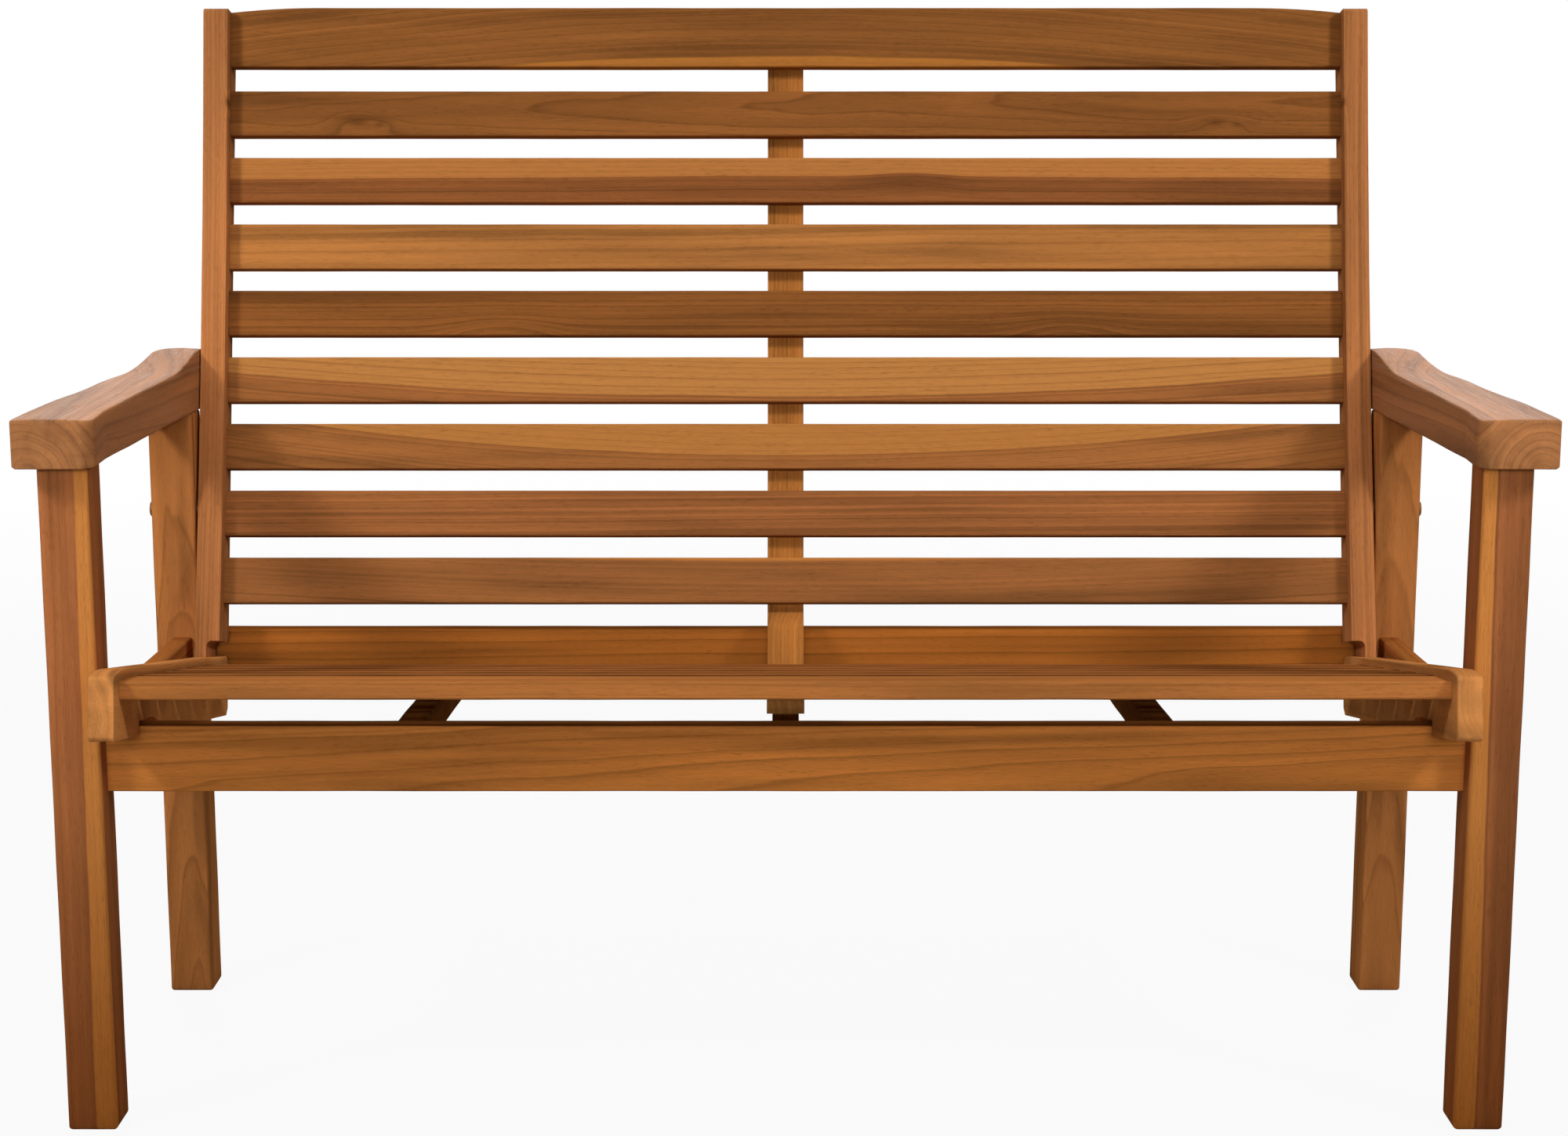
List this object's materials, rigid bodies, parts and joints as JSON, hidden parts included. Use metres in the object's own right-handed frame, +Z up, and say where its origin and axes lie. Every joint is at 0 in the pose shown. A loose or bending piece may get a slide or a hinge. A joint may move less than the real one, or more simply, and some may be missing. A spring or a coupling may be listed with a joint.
{
  "type": "slatted garden bench",
  "caption": "Slatted teak garden bench with broad armrests; the back reclines on bolts in the rear legs while the seat slides forward over the front rail.",
  "frame": {"origin": "on the ground, under the middle of the bench's box", "axes": "+X along the bench to the right as seen from the front, +Y to the rear, +Z up"},
  "size_m": [1.3036, 0.6029, 0.9912],
  "materials": {
    "teak_frame": "oiled teak, satin",
    "teak_back": "oiled teak, satin",
    "teak_seat": "oiled teak, satin",
    "steel_fittings": "plain zinc-plated steel"
  },
  "bodies": {
    "frame": {"front_leg_left": "teak_frame", "front_leg_right": "teak_frame", "rear_leg_left": "teak_frame", "rear_leg_right": "teak_frame", "armrest_left": "teak_frame", "armrest_right": "teak_frame", "arm_dowels": "teak_frame", "side_rail_left": "teak_frame", "side_rail_right": "teak_frame", "front_rail": "teak_frame", "rear_rail": "teak_frame", "bearer_left": "teak_frame", "bearer_centre": "teak_frame", "bearer_right": "teak_frame", "recline_bolts": "steel_fittings", "recline_washers": "steel_fittings"},
    "back": {"back_stile_left": "teak_back", "back_stile_right": "teak_back", "top_rail": "teak_back", "centre_stile": "teak_back", "back_slat_1": "teak_back", "back_slat_2": "teak_back", "back_slat_3": "teak_back", "back_slat_4": "teak_back", "back_slat_5": "teak_back", "back_slat_6": "teak_back", "back_slat_7": "teak_back", "back_slat_8": "teak_back", "stile_inserts": "steel_fittings", "back_slat_screws": "steel_fittings", "seat_pivot_bolts": "steel_fittings"},
    "seat": {"seat_cheek_left": "teak_seat", "seat_cheek_right": "teak_seat", "seat_batten": "teak_seat", "seat_slat_1": "teak_seat", "seat_slat_2": "teak_seat", "seat_slat_3": "teak_seat", "seat_slat_4": "teak_seat", "seat_slat_5": "teak_seat", "seat_slat_6": "teak_seat", "seat_pivot_nuts": "steel_fittings", "batten_screws": "steel_fittings"}
  },
  "joints": [
    {"name": "back_tilt", "type": "hinge", "parent": "frame", "child": "back", "pos_m": [0, 0.16096, 0.497], "axis": [-1, 0, 0], "range_deg": [0, 15]},
    {"name": "seat_pivot", "type": "hinge", "parent": "back", "child": "seat", "pos_m": [0, 0.1194, 0.32392], "axis": [-1, 0, 0], "range_deg": [-17, 0]}
  ],
  "couplings": [
    {"joint": "seat_pivot", "follows": "back_tilt", "ratio": -1.1227}
  ]
}
